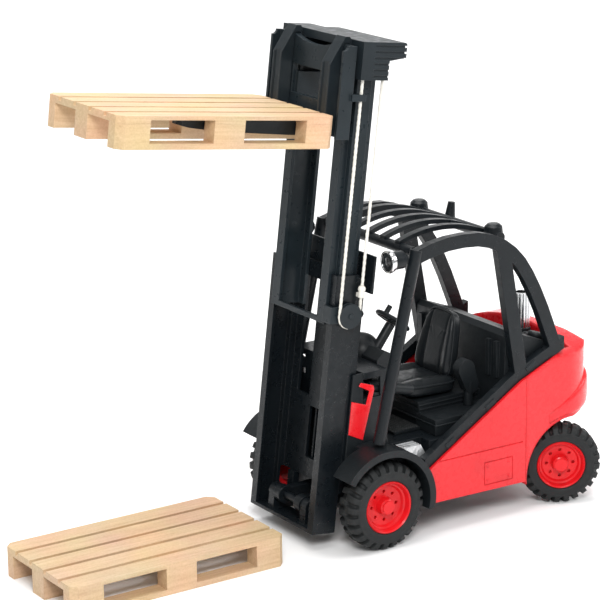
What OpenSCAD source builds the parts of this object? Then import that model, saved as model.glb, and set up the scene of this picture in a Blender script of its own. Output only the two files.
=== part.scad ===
/* [Truck] */
// Distance from the front axle to the kingpins of the rear axle
wheelbase = 144; // [138:1:165]
// Width over the painted side panels
body_w = 108; // [104:1:120]
// Height of the overhead guard above the ground, to the top of its side arch
guard_h = 184.5; // [176:0.5:196]
// Width over the outer faces of the front tyres
front_track = 118; // [114:1:126]

/* [Wheels] */
// Outside diameter of the front tyres
front_d = 54; // [50:1:56]
// Outside diameter of the rear tyres
rear_d = 51; // [46:1:53]
// Width of a tyre
tyre_w = 18; // [15:0.5:18]
// How far the rear wheels are turned, in degrees
steer_now = 28; // [0:1:30]

/* [Mast] */
// Height of the fixed mast rails above the mast hinge
rail_h = 146; // [130:1:156]
// Width over the fixed mast rails
mast_w = 69; // [66:0.5:69.5]
// How far the mast leans back, in degrees
lean = 7.3; // [4:0.1:8]
// How much of the sliding mast stays inside the fixed mast at full height
overlap = 30; // [24:1:50]

/* [Forks and pallets] */
// Length of a fork blade in front of its shank
fork_l = 98; // [80:1:110]
// Width of a fork
fork_w = 9; // [7:0.5:10]
// Distance between the centre lines of the two forks
fork_gap = 51; // [46:1:52]
// Length of a pallet
pallet_l = 142; // [125:1:160]
// Width of a pallet
pallet_w = 84; // [82:1:94]
// Height of a pallet
pallet_h = 18.5; // [17.5:0.1:18.8]

/* [Hidden] */
$fn = 64;
eps = 0.01;

// Clearances
slack = 0.4;      // between pieces that slide on each other
run = 0.05;       // radial, between a pin and the hole that turns on it

// Colours
red = "#c8202a";
black = "#26292b";
grey_black = "#34383a";
rubber = "#1d2120";
silver = "#c4c6c6";
pale = "#e6e2d2";
wood = "#d9b98b";

// Axles
front_r = front_d / 2;
rear_r = rear_d / 2;
axle_r = 2;
front_wheel_y = front_track / 2 - tyre_w / 2;
tyre_in = front_track / 2 - tyre_w;
kingpin_y = 35;
rear_offset = 15;               // kingpin to the middle of the rear wheel
rim_share = 0.6;                // rim radius as a share of the tyre radius
axle_end = front_wheel_y + tyre_w / 2 - 2.2;

// Mast hinge and rails, in the mast's own frame: X forward, Z up the rails
hinge_x = 30;
hinge_z = 22;
hinge_pin_r = 2.5;
lug_r = 5.5;
travel = rail_h - overlap - 2;
rail_foot = -10;
rail_half = mast_w / 2;         // outer face of a fixed rail
rail_d = 16;                    // fixed rail, front to back
rail_t = 2;
inner_half = rail_half - 6;     // outer face of a sliding rail
inner_d = 20;
inner_t = 2.2;
inner_w = 7.5;
inner_low = 2 + travel;
inner_high = rail_h + 2 + travel;
head_h = 22;
head_top = inner_high + head_h;
back_x = -inner_d / 2 - slack;  // front face of the mast's back plate
back_t = 2.1;

// Cord and its two pulleys, on the mast's left side
cord_y = rail_half + 3.5;
cord_x = -1;                    // middle of the loop
cord_r = 1;
pulley_r = 6;                   // bottom of the groove
loop_r = pulley_r + cord_r;
flange_r = 7.5;
pulley_w = 3.4;
pulley_pin_r = 1.5;
pulley_low = inner_low + 6.5;
pulley_high = inner_high + 8;
anchor_z = rail_h - 7.5;

// Fork carriage
fork_top = 8.5 + 2 * travel;
carriage_low = fork_top - 9.5;
carriage_h = 54;
carriage_half = 38.5;
plate_x = 12;
plate_t = 3.5;
shank_back = plate_x + plate_t + slack;
shank_front = 24;
fork_depth = 8.5;
guide_low = carriage_low + 6.5;
guide_h = inner_high - slack - guide_low - 3;
clamp_z = pulley_low + flange_r + 5.5 + travel;

// Pallets
deck_t = 2.2;
stringer_t = 2;
runner_t = 3.3;
block_l = 20;
side_runner_w = 11;
mid_runner_w = 14;
chamfer = 4;
floor_pallet_x = 63;

// Bodywork outline, seen from the left
body_half = body_w / 2;
panel_t = 4;
body_low = 21;
core_half = 37;                 // half width of the frame between the front wheels
fender_x = 0.5;
fender_z = front_r + 1.5;
fender_in = front_r + 3;
fender_out = fender_in + 4.3;
seam_x = -wheelbase + 38;
arch_x = -wheelbase + 3;
arch_z = 21.5;
arch_r = rear_r + 8.5;
rear_end = -wheelbase - 21;
edge = [[fender_x - 0.9184 * fender_out, fender_z + 0.3644 * fender_out], [-42, 48], [-72, 66.5], [seam_x + 3, 85.5], [7 - wheelbase, 100]];
sill_h = 7.8;
sill_gap = 0.3;

// Overhead guard seen from the left: the slats follow a circle, the side frame a freer arch round the same centre
arc_x = 89 - wheelbase;
arc_r = 80.5;
arc_z = guard_h - arc_r;
arc_w = 8.3;
guard_t = 5.5;
guard_y = body_half - 7.5;
pillar_r = 3.7;
pillar_foot = [0.9, fender_z + fender_out + 2];
pillar_head = [-26, guard_h - 8];
arch_front = pillar_head[0] - arc_x;
arch = [[arch_front + 46, 30], [arch_front + 41, 40], [arch_front + 26, 58.8], [arch_front + 11, 69.9],
        [arch_front, 75.7], [0.655 * arch_front, 78.4], [0.241 * arch_front, 80.2], [-5, 80.5], [-16.5, 79.6],
        [-27, 76.8], [-36, 72.3], [-44, 66.3], [-51, 58.8], [-57, 49.8], [-63, 38.8], [-69, 25.8], [-75, 10.8],
        [-80.3, -3], [-82, -20], [-82, -60], [arch_front + 46, -60]];
post_head = [55 - wheelbase, guard_h - 11];
post_foot = [40 - wheelbase, 88];
post_w = 9.5;

// Tilt cylinders
ear_z = 78;
ear_x = -16.5;
ear_y = 31.5;
tilt_swing = 10;                // how far the mast tips forward, in degrees
tilt_axis = atan(-ear_x / ear_z) + lean - tilt_swing / 2;
rod_r = 1.8;
barrel_r = 3.3;
ear_world = [hinge_x + ear_x * cos(lean) - ear_z * sin(lean),
             hinge_z + ear_z * cos(lean) + ear_x * sin(lean)];

// The part's own origin: on the ground, under the middle of its outline
front_end = floor_pallet_x + pallet_l;
shoulder = 1.6;                 // how far the tyre's tread falls at its shoulders
turned_back = (rear_r - shoulder) * cos(steer_now) + (rear_offset + tyre_w / 2 - shoulder) * sin(steer_now);
mid_x = (front_end + min(rear_end, -wheelbase - turned_back)) / 2;

// ---------- helpers ----------

// Puts a child in the part's frame: origin under the middle of the outline
module place() {
    translate([-mid_x, 0, 0]) children();
}

// The mast's own frame, with the mast leaning back
module on_mast() {
    place() translate([hinge_x, 0, hinge_z]) rotate([0, -lean, 0]) children();
}

// A box given by its low and high corners
module block(low, high) {
    translate(low) cube([high[0] - low[0], high[1] - low[1], high[2] - low[2]]);
}

// A drawing in X and Z, given thickness from y0 to y1
module upright(y0, y1) {
    translate([0, y1, 0]) rotate([90, 0, 0]) linear_extrude(y1 - y0) children();
}

// A flat bar between two points of a drawing, with round ends
module bar(p, q, w) {
    run_x = q[0] - p[0];
    run_y = q[1] - p[1];
    translate(p) rotate(atan2(run_y, run_x)) translate([0, -w / 2]) square([norm([run_x, run_y]), w]);
    for (end = [p, q]) translate(end) circle(w / 2);
}

// A shaft along Y
module shaft(r, y0, y1) {
    translate([0, y1, 0]) rotate([90, 0, 0]) cylinder(r = r, h = y1 - y0);
}

// The same thing on both sides; side is 1 for left and -1 for right
module sided(side) {
    scale([1, side, 1]) children();
}

// ---------- truck: chassis and axles ----------

module chassis() {
    color(black) place() {
        difference() {
            union() {
                block([seam_x, panel_t - body_half, body_low + 1], [-fender_out - 4, body_half - panel_t, 40.5]);
                block([seam_x, slack - guard_y, 40], [-fender_out - 4, guard_y - slack, 58]);
                block([-fender_out - 5, -core_half, 16], [8, core_half, 40]);
                block([-fender_out - 5, -core_half, 39], [-14, core_half, 58]);
                block([rear_end + 12, -18, 38], [seam_x, 18, 58]);
                for (y = [-11, 11]) {
                    upright(y - 3, y + 3) bar([6, hinge_z], [hinge_x, hinge_z], 8);
                    translate([hinge_x, 0, hinge_z]) shaft(lug_r, y - 3, y + 3);
                }
                block([-wheelbase - 8, -12, 31], [-wheelbase + 4, 12, 38]);
            }
            translate([0, 0, front_r]) shaft(axle_r, -60, 60);
            translate([hinge_x, 0, hinge_z]) shaft(hinge_pin_r, -60, 60);
        }
    }
}

module front_axle() {
    color(silver) place() translate([0, 0, front_r]) shaft(axle_r, -axle_end, axle_end);
}

module mast_pin() {
    color(silver) place() translate([hinge_x, 0, hinge_z]) shaft(hinge_pin_r, -21.5, 21.5);
}

module rear_beam() {
    beam_low = rear_r - 6.5;
    beam_top = 31;
    color(black) place() translate([-wheelbase, 0, 0]) difference() {
        union() {
            block([-6, -27, beam_low], [4, 27, beam_top]);
            for (side = [-1, 1], z = [beam_low, beam_top - 3])
                translate([0, 0, z]) {
                    translate([0, side * kingpin_y, 0]) cylinder(r = 4.5, h = 3);
                    translate([-4, side > 0 ? 26 : -kingpin_y, 0]) cube([8, kingpin_y - 26, 3]);
                }
        }
        for (side = [-1, 1]) translate([0, side * kingpin_y, 0]) cylinder(r = 1.8 + run, h = 60);
    }
}

// ---------- truck: painted and moulded bodywork ----------

// Side of the body between the front fender, the sill line and the rear wheel arch
module panel_outline() {
    difference() {
        polygon([[-20, body_low], each edge, [seam_x, 90], [seam_x, body_low - 1]]);
        translate([fender_x, fender_z]) circle(fender_out + 0.2);
        translate([seam_x - 60, 0]) square([60, 200]);
    }
}

module side_panel(side) {
    hatch = [seam_x + 10, seam_x + 32];
    color(red) place() sided(side) difference() {
        upright(body_half - panel_t, body_half) panel_outline();
        // moulded seam that marks off the lower panel
        block([seam_x + 2, body_half - 0.6, 46.2], [-fender_out + 2, body_half + 1, 47]);
        // outline of the service hatch
        difference() {
            block([hatch[0], body_half - 0.5, 24], [hatch[1], body_half + 1, 39]);
            block([hatch[0] + 0.6, body_half - 1, 24.6], [hatch[1] - 0.6, body_half + 2, 38.4]);
        }
    }
    color(red) place() sided(side)
        for (x = [hatch[0] + 3, hatch[1] - 3], z = [27, 36])
            translate([x, 0, z]) shaft(0.8, body_half - eps, body_half + 0.4);
}

module side_panel_left() { side_panel(1); }
module side_panel_right() { side_panel(-1); }

// Side of the counterweight, from the seam to the tail
module tail_outline() {
    difference() {
        polygon([[seam_x - 0.3, body_low - 3], [seam_x - 0.3, 120], [rear_end + 4, 120],
                 [rear_end + 2, 80], [rear_end, 62], [rear_end + 5, 60], [-wheelbase, 55]]);
        polygon([[seam_x + 5, 83.7], [7 - wheelbase, 100], [7 - wheelbase, 97], [rear_end, 92],
                 [rear_end, 125], [seam_x + 5, 125]]);
        translate([arch_x, arch_z]) circle(arch_r);
        translate([rear_end - 1, 0]) square([arch_x - rear_end + 1, 55.5]);
    }
}

module counterweight() {
    corner = 26;
    crown = 150;
    color(red) place() difference() {
        intersection() {
            upright(-body_half, body_half) difference() {
                polygon([[seam_x - 0.3, body_low - 3], [seam_x - 0.3, 104], [4 - wheelbase, 108.5],
                         [rear_end + 14, 106.5], [rear_end + 8, 103.5], [rear_end + 4.2, 98.5],
                         [rear_end + 2.2, 91], [rear_end + 1.2, 80], [rear_end, 68], [rear_end + 1, 62.5],
                         [rear_end + 5, 59.5], [-wheelbase, 55.5], [seam_x - 5, body_low - 3]]);
                translate([arch_x, arch_z]) circle(arch_r);
            }
            // plan view with round rear corners
            union() {
                block([rear_end + corner, -body_half, 0], [seam_x, body_half, 130]);
                block([rear_end, corner - body_half, 0], [rear_end + corner + 1, body_half - corner, 130]);
                for (side = [-1, 1])
                    translate([rear_end + corner, side * (body_half - corner), 0]) cylinder(r = corner, h = 130);
            }
            // crowned top
            translate([0, 0, 106 - crown]) rotate([0, 90, 0])
                translate([0, 0, rear_end - 5]) cylinder(r = crown, h = 80, $fn = 128);
        }
        // the shoulder falls along the sill line on both sides
        for (side = [-1, 1]) sided(side)
            upright(body_half - 8, body_half + 1)
                polygon([[seam_x + 5, 84.5], [7 - wheelbase, 100], [7 - wheelbase, 130], [seam_x + 5, 130]]);
        // well for the engine cover
        block([-wheelbase + 2, -38, 58], [seam_x + 5, 38, 130]);
        block([-wheelbase - 1, 7 - body_half, 87], [seam_x + 5, body_half - 7, 130]);
        // swept scoops along the flanks
        for (side = [-1, 1], z = [68, 84]) sided(side)
            translate([rear_end - 6, body_half + 5, z]) rotate([0, 90, 9])
                cylinder(r1 = 8.5, r2 = 4.5, h = 46);
        // seats for the rear lamps
        for (side = [-1, 1]) sided(side) block([rear_end - 1, 26, 84], [rear_end + 6, 34, 92]);
        // room for the chassis spine and the axle
        block([rear_end + 12 - slack, -18 - eps, 0], [seam_x + 5, 18 + eps, 58]);
    }
}

module engine_cover() {
    tail = -wheelbase - 1;
    color(black) place() {
        difference() {
            union() {
                upright(8 - body_half, body_half - 8)
                    polygon([[tail + slack, 87 + slack], [tail + slack, 93], [-wheelbase + 19, 106],
                             [-wheelbase + 45, 116], [-wheelbase + 48, 113], [-wheelbase + 50, 58.3],
                             [seam_x + 6, 58.3], [seam_x + 6, 87 + slack]]);
                // upright folds in the wall behind the seat
                for (y = [-39, -31, 31, 39]) block([-wheelbase + 44, y - 1.6, 86], [-wheelbase + 50.8, y + 1.6, 109]);
            }
            // louvres in the deck
            for (x = [0:3]) block([-wheelbase + 18 + 4 * x, 12, 103.5], [-wheelbase + 19.5 + 4 * x, 36, 130]);
        }
        // stand of the exhaust
        translate([-wheelbase + 6, 8, 90]) cylinder(r1 = 6.6, r2 = 5.8, h = 13.5);
    }
}

module exhaust() {
    color(silver) place() translate([-wheelbase + 6, 8, 103.5]) {
        difference() {
            cylinder(r = 4.8, h = 23);
            translate([0, 0, 3]) cylinder(r = 3.9, h = 30);
        }
        for (turn = [0:15]) rotate(turn * 360 / 16) translate([4.8, 0, 0]) cylinder(r = 0.55, h = 23);
    }
}

module fender(side) {
    low = front_wheel_y - tyre_w / 2 + 0.5;
    color(grey_black) place() sided(side) difference() {
        union() {
            upright(low, front_track / 2 + 0.5) translate([fender_x, fender_z]) difference() {
                circle(fender_out);
                circle(fender_in);
                translate([-60, -100]) square([120, 100 - 8]);
                rotate(-90) translate([-100, 0]) square([200, 60]);
            }
            upright(low, front_track / 2 + 0.5) translate([fender_x, fender_z]) difference() {
                circle(fender_out);
                circle(fender_in);
                translate([-60, -100]) square([60, 200]);
                rotate(35) translate([-60, -100]) square([140, 100]);
            }
            // inner flange that joins the chassis
            upright(core_half + 0.2, low + 1) translate([fender_x, fender_z]) difference() {
                circle(fender_out);
                circle(fender_in + 1);
                translate([-60, -100]) square([120, 100 + 12]);
                translate([9, -100]) square([100, 200]);
            }
        }
    }
}

module fender_left() { fender(1); }
module fender_right() { fender(-1); }

module step(side) {
    top = 57;
    rear = 0.3 - fender_out - 4;
    color(silver) place() sided(side) difference() {
        upright(core_half + slack, guard_y - slack) difference() {
            polygon([[-10, top], [rear + 6, top], [rear, 46], [rear + 8, 38], [-10, top - 6]]);
            translate([fender_x, fender_z]) circle(fender_out + 0.3);
        }
        for (y = [core_half + 1.6:2.8:core_half + 7.2])
            block([-40, y, top - 0.5], [0, y + 1.2, top + 1]);
    }
}

module step_left() { step(1); }
module step_right() { step(-1); }

// Front cowl between the mast and the driver, slotted on both sides for the tilt cylinders
module cowl() {
    color(red) place() difference() {
        union() {
            block([-14, -core_half, 58.3], [3, core_half, 106]);
            block([-8, -core_half, 40.3], [3, core_half, 60]);
        }
        for (side = [-1, 1]) sided(side) {
            block([-9, 26, 90], [4, 39, 102]);
            block([-20, ear_y - 4, 84], [-5, ear_y + 4, 101]);
        }
    }
}

// ---------- truck: overhead guard ----------

module guard_outline() {
    difference() {
        translate([arc_x, arc_z]) difference() {
            polygon(arch);
            offset(delta = -arc_w) polygon(arch);
        }
        translate([-300, -100]) square([600, 100 + 101]);
        translate([pillar_head[0], 0]) square([300, 300]);
    }
    // rear post of the doorway
    polygon([[post_head[0] - post_w / 2, post_head[1]], [post_head[0] + post_w / 2, post_head[1]],
             [post_foot[0] + post_w / 2, post_foot[1]], [post_foot[0] - post_w / 2, post_foot[1]]]);
    // sill rail along the top edge of the painted side
    polygon([for (p = edge) [p[0], p[1] + sill_gap],
             for (i = [len(edge) - 1:-1:0]) [edge[i][0], edge[i][1] + sill_gap + sill_h]]);
}

module guard_side(side) {
    y0 = guard_y;
    color(black) place() sided(side) {
        upright(y0, y0 + guard_t) guard_outline();
        // front pillar, a round tube
        length = norm(pillar_head - pillar_foot);
        slope = atan2(pillar_head[0] - pillar_foot[0], pillar_head[1] - pillar_foot[1]);
        translate([pillar_foot[0], y0 + guard_t / 2, pillar_foot[1]]) rotate([0, slope, 0])
            cylinder(r = pillar_r, h = length + 3);
        // clips that fasten the frame to the body
        for (i = [1, 2, 3]) translate([edge[i][0] - 8, y0 + guard_t, edge[i][1] + 8]) rotate([0, 32, 0])
            block([-4, -0.5, -1.6], [4, 0.6, 1.6]);
    }
}

module guard_side_left() { guard_side(1); }
module guard_side_right() { guard_side(-1); }

module roof_headers() {
    y = guard_y - 1.2;
    rear_x = post_head[0] - 3;
    color(black) place() {
        translate([pillar_head[0] - 2, 0, pillar_head[1] + 0.5]) shaft(3.2, -y, y);
        translate([rear_x, 0, guard_h - 8.5]) shaft(3.4, -y, y);
        // corner caps on the rear header
        for (side = [-1, 1]) translate([rear_x, side * (y - 7), guard_h - 7]) {
            cylinder(r1 = 6, r2 = 5.4, h = 4.5);
            translate([0, 0, 4.5]) cylinder(r1 = 5.4, r2 = 3.6, h = 1.6);
        }
        // stub of the warning light on the right
        translate([rear_x - 6, -14, guard_h - 8.5]) rotate([0, -8, 0]) cylinder(r1 = 3.4, r2 = 2.2, h = 10);
        translate([rear_x - 6, -14, guard_h - 8.5]) block([-1, -2, -2], [6, 2, 2]);
    }
}

module roof_slats() {
    slat_w = 4.6;
    color(black) place()
        for (i = [-2:2]) upright(i * 15.5 - slat_w / 2, i * 15.5 + slat_w / 2) difference() {
            translate([arc_x, arc_z]) difference() {
                circle(arc_r + 2.2, $fn = 128);
                circle(arc_r - 0.6, $fn = 128);
            }
            translate([-300, -100]) square([600, 100 + arc_z]);
            translate([pillar_head[0], 0]) square([300, 300]);
            translate([post_head[0] - 1 - 300, 0]) square([300, 300]);
        }
}

// ---------- truck: lamps ----------

module lamp(side) {
    x = pillar_head[0] + 10;
    color(black) place() sided(side) translate([x, guard_y + 3, guard_h - 9]) rotate([0, 90, 0]) {
        cylinder(r = 5.4, h = 9);
        translate([0, 0, 9]) cylinder(r = 5.1, h = 0.8);
        translate([0, 0, -3]) cylinder(r1 = 3, r2 = 5.4, h = 3);
    }
}

module lamp_left() { lamp(1); }
module lamp_right() { lamp(-1); }

module lamp_ring(side) {
    x = pillar_head[0] + 10;
    color(silver) place() sided(side) translate([x + 5, guard_y + 3, guard_h - 9]) rotate([0, 90, 0])
        rotate_extrude() polygon([[5.4, 2.4], [6.3, 2.4], [6.9, 4.6], [6.5, 5.6], [5.6, 5.6], [5.4, 4]]);
}

module lamp_ring_left() { lamp_ring(1); }
module lamp_ring_right() { lamp_ring(-1); }

module rear_lamps() {
    color(black) place() for (side = [-1, 1]) sided(side)
        block([rear_end + 0.8, 26 + 0.1, 84.1], [rear_end + 6, 33.9, 91.9]);
}

// ---------- truck: cab ----------

module seat_base() {
    color(black) place() {
        upright(-24, 24) polygon([[-48, 58.3], [-46, 75], [seam_x + 12.6, 75], [seam_x + 12.6, 58.3]]);
        block([seam_x + 12.6, 22, 58.3], [-46, 42, 68]);
        block([seam_x + 12.6, -42, 58.3], [-46, -22, 68]);
    }
}

module seat_cushion() {
    color(grey_black) place() difference() {
        translate([-57, 0, 75.2]) hull() {
            for (x = [-9, 10], y = [-17, 17]) translate([x, y, 0]) cylinder(r = 5, h = 4, $fn = 32);
            for (x = [-8, 8], y = [-15, 15]) translate([x, y, 4]) cylinder(r1 = 5, r2 = 3, h = 5, $fn = 32);
        }
        translate([-57, 0, 151]) sphere(r = 68.5);
    }
}

module seat_back() {
    color(grey_black) place() translate([-79, 0, 81.5]) rotate([0, -14, 0]) hull() {
        for (y = [-15, 15]) translate([0, y, 3]) rotate([0, 90, 0]) cylinder(r = 5, h = 6, $fn = 32);
        for (y = [-13, 13]) translate([0, y, 28]) rotate([0, 90, 0]) cylinder(r = 6, h = 6, $fn = 32);
        translate([0, -6, 33]) rotate([0, 90, 0]) cylinder(r = 6, h = 5, $fn = 32);
        translate([0, 6, 33]) rotate([0, 90, 0]) cylinder(r = 6, h = 5, $fn = 32);
    }
}

module armrest() {
    color(black) place() {
        translate([-81, 28.2, 68.2]) cylinder(r = 3, h = 15);
        hull() {
            translate([-82, 0, 81]) shaft(5, 24.6, 31);
            translate([-78, 0, 92]) shaft(6, 24.6, 31);
        }
    }
}

module dash() {
    color(black) place() {
        upright(-26, 26) polygon([[-14.3, 84], [-14.3, 108], [-20, 113], [-30, 108], [-27, 84]]);
        // round instrument hood and steering column
        translate([-21, 0, 106]) difference() {
            sphere(r = 12);
            block([-13, -13, -13], [-7, 13, 13]);
            block([-20, -20, -20], [20, 20, 0]);
        }
        translate([-24, 8, 106]) rotate([0, -38, 0]) cylinder(r = 3, h = 21);
        block([-46, -26, 58.3], [-27, 26, 60]);
    }
}

module steering_wheel() {
    color(black) place() translate([-24, 8, 106]) rotate([0, -38, 0]) translate([0, 0, 21 + slack]) {
        rotate_extrude() translate([10.5, 2.4]) circle(1.3);
        cylinder(r = 3.2, h = 3);
        for (turn = [0, 120, 240]) rotate(turn + 60) block([0, -1, 1.2], [10.5, 1, 2.8]);
        translate([9.5, 3, 2.4]) cylinder(r = 1.6, h = 6);
    }
}

// ---------- wheels ----------

// Tyre about the Y axis, middle at the origin, with staggered lugs on both shoulders
module tyre(r) {
    rim = r * rim_share;
    half = tyre_w / 2;
    lugs = 20;
    difference() {
        rotate([90, 0, 0]) rotate_extrude($fn = 96)
            polygon([[rim, -half + 1], [rim + 2, -half], [r - 5, -half], [r - shoulder, -half + shoulder],
                     [r, -half + 5], [r, half - 5], [r - shoulder, half - shoulder], [r - 5, half],
                     [rim + 2, half], [rim, half - 1]]);
        for (i = [0:lugs - 1], side = [-1, 1])
            rotate([0, (i + side / 4) * 360 / lugs, 0])
                block([-1.1, side > 0 ? 1.5 : -half - 1, r - 2.2], [1.1, side > 0 ? half + 1 : -1.5, r + 1]);
    }
}

// Rim about the Y axis, outer face towards +Y
module rim(r) {
    rim_r = r * rim_share;
    half = tyre_w / 2 - 1;
    holes = 8;
    difference() {
        rotate([-90, 0, 0]) rotate_extrude($fn = 64)
            polygon([[axle_r + run, -half], [4.5, -half], [5, 0], [rim_r - 3, -1], [rim_r - 2.4, -half],
                     [rim_r, -half], [rim_r, half], [rim_r - 0.6, half + 0.8], [rim_r - 1.3, half],
                     [rim_r - 2.2, 5], [rim_r - 3.2, 4.6], [rim_r - 4.2, 3], [5.6, 2.4], [4.8, 6.6],
                     [3.8, 7.2], [axle_r + run, 7.2]]);
        for (turn = [0:holes - 1]) rotate([0, turn * 360 / holes, 0])
            translate([0, 0, (rim_r + 1.5) / 2]) shaft(1.05, 0.6, 10);
    }
    // closed cap over the end of the axle
    shaft(4, half - 0.8 - eps, half + 0.2);
}

module front_wheel_at(side) {
    place() translate([0, side * front_wheel_y, front_r]) sided(side) children();
}

// The stub of a rear wheel: kingpin at the origin, wheel out along +Y
module at_knuckle(side) {
    place() translate([-wheelbase, side * kingpin_y, rear_r]) rotate(-steer_now) children();
}

module rear_wheel_at(side) {
    at_knuckle(side) translate([0, side * rear_offset, 0]) sided(side) children();
}

module front_tyre_left() { color(rubber) front_wheel_at(1) tyre(front_r); }
module front_tyre_right() { color(rubber) front_wheel_at(-1) tyre(front_r); }
module front_rim_left() { color(red) front_wheel_at(1) rim(front_r); }
module front_rim_right() { color(red) front_wheel_at(-1) rim(front_r); }
module rear_tyre_left() { color(rubber) rear_wheel_at(1) tyre(rear_r); }
module rear_tyre_right() { color(rubber) rear_wheel_at(-1) tyre(rear_r); }
module rear_rim_left() { color(red) rear_wheel_at(1) rim(rear_r); }
module rear_rim_right() { color(red) rear_wheel_at(-1) rim(rear_r); }

// Steering arm length, kingpin to tie rod pin
arm = 9;
tie_z = 33.4;

module knuckle(side) {
    low = rear_r - 6.5 + 3 + slack;
    high = 28 - slack;
    color(grey_black) at_knuckle(side) translate([0, 0, -rear_r]) {
        translate([0, 0, low]) cylinder(r = 4, h = high - low);
        translate([0, 0, rear_r - 6.5]) cylinder(r = 1.8, h = 31.8 - rear_r + 6.5);
        translate([0, 0, rear_r]) sided(side) shaft(axle_r, 0, rear_offset + tyre_w / 2 - 3);
        translate([0, 0, 31.4]) linear_extrude(1.6) bar([0, 0], [arm, 0], 4);
        translate([arm, 0, 32.5]) cylinder(r = 1.2, h = 3.6);
    }
}

module knuckle_left() { knuckle(1); }
module knuckle_right() { knuckle(-1); }

module tie_rod() {
    pin_x = arm * cos(steer_now);
    pin_y = arm * sin(steer_now);
    slot = arm - pin_x + 0.6;
    color(grey_black) place() translate([-wheelbase, -pin_y, tie_z]) difference() {
        linear_extrude(2) union() {
            bar([arm - 0.6, -kingpin_y], [arm - 0.6, kingpin_y], 3.4);
            for (side = [-1, 1]) bar([pin_x, side * kingpin_y], [arm + 0.2, side * kingpin_y], 5.6);
        }
        for (side = [-1, 1]) translate([0, 0, -1]) linear_extrude(4)
            bar([pin_x - 0.2, side * kingpin_y], [pin_x + slot, side * kingpin_y], 3.1);
    }
}

// ---------- fixed mast ----------

module fixed_rail(side) {
    color(black) on_mast() sided(side) {
        block([-rail_d / 2, rail_half - rail_t, rail_foot], [rail_d / 2, rail_half, rail_h]);
        for (x = [-rail_d / 2, rail_d / 2 - 2.2])
            block([x, inner_half + 0.3, rail_foot], [x + 2.2, rail_half - rail_t, rail_h]);
    }
}

module fixed_rail_left() { fixed_rail(1); }
module fixed_rail_right() { fixed_rail(-1); }

// Back plate, foot beam and hinge knuckles of the fixed mast
module mast_back() {
    window_low = 62;
    color(black) on_mast() {
        difference() {
            block([back_x - back_t, -rail_half, 12], [back_x, rail_half, rail_h - 2]);
            for (side = [-1, 1]) sided(side) block([-30, 9, window_low], [0, 22, rail_h - 12]);
            block([-30, -7, 24], [0, 7, window_low - 6]);
        }
        // shoulders that carry the rails
        for (side = [-1, 1]) sided(side) {
            block([back_x - back_t, inner_half + 0.5, 12], [-rail_d / 2, rail_half, rail_h - 2]);
            // ear and pin for the tilt cylinder
            block([ear_x + 1.4, ear_y - 5.5, ear_z - 4], [back_x - back_t + eps, ear_y - 3.3, ear_z + 4]);
            translate([ear_x, 0, ear_z]) {
                shaft(3.4, ear_y - 5.5, ear_y - 3.3);
                shaft(1.5, ear_y - 5.5, ear_y + 3);
            }
        }
        // head plate; the cord is held at its left end
        block([back_x - back_t - 1.2, -rail_half, rail_h - 6], [back_x - back_t + eps, cord_y + 4, rail_h + 12.5]);
        block([back_x - back_t - 1.2, rail_half - 2, rail_h - 10], [back_x - back_t + eps, cord_y + 4, rail_h - 5]);
        // foot beam and hinge knuckles
        block([-rail_d / 2, -rail_half, rail_foot - 2], [rail_d / 2, rail_half, rail_foot]);
        difference() {
            for (y = [-17.4, 17.4]) {
                block([back_x - back_t, y - 3, rail_foot - eps], [4.5, y + 3, 0]);
                block([back_x - back_t, y - 3, -eps], [-8.2, y + 3, 12 + eps]);
                shaft(4.8, y - 3, y + 3);
            }
            shaft(hinge_pin_r + run, -40, 40);
        }
        // ribs down the plate
        for (y = [-26.5, -3, 3, 26.5])
            block([back_x - back_t - 1.2, y - 0.7, 14], [back_x - back_t + eps, y + 0.7, rail_h - 4]);
    }
}

// Hook and bead that hold the cord to the fixed mast
module cord_anchor() {
    color(pale) on_mast() difference() {
        translate([cord_x - loop_r, cord_y, anchor_z]) {
            sphere(r = 2.3);
            translate([0, 0, -5]) cylinder(r = 1.9, h = 5);
            block([-1.2, -3.5, -5], [1.2, 0, -2.6]);
        }
        translate([cord_x - loop_r, cord_y, anchor_z - 20]) cylinder(r = cord_r + 0.3, h = 40);
    }
}

// ---------- tilt cylinders ----------

// Along a cylinder: X runs from the chassis pivot towards the mast ear
module on_cylinder() {
    place() translate([ear_world[0], 0, ear_world[1]]) rotate([0, -tilt_axis, 0]) children();
}

module tilt_barrels() {
    color(grey_black) for (side = [-1, 1]) on_cylinder() sided(side) translate([0, ear_y, 0]) {
        difference() {
            translate([-40, 0, 0]) rotate([0, 90, 0]) cylinder(r = barrel_r, h = 33);
            translate([-38, 0, 0]) rotate([0, 90, 0]) cylinder(r = rod_r + run, h = 40);
        }
    }
}

module tilt_rod(side) {
    color(silver) on_cylinder() sided(side) translate([0, ear_y, 0]) difference() {
        union() {
            translate([-30, 0, 0]) rotate([0, 90, 0]) cylinder(r = rod_r, h = 27);
            shaft(3.6, -2.4, 2.4);
        }
        shaft(1.5 + 0.55, -5, 5);
    }
}

module tilt_rod_left() { tilt_rod(1); }
module tilt_rod_right() { tilt_rod(-1); }

// ---------- sliding mast ----------

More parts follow.
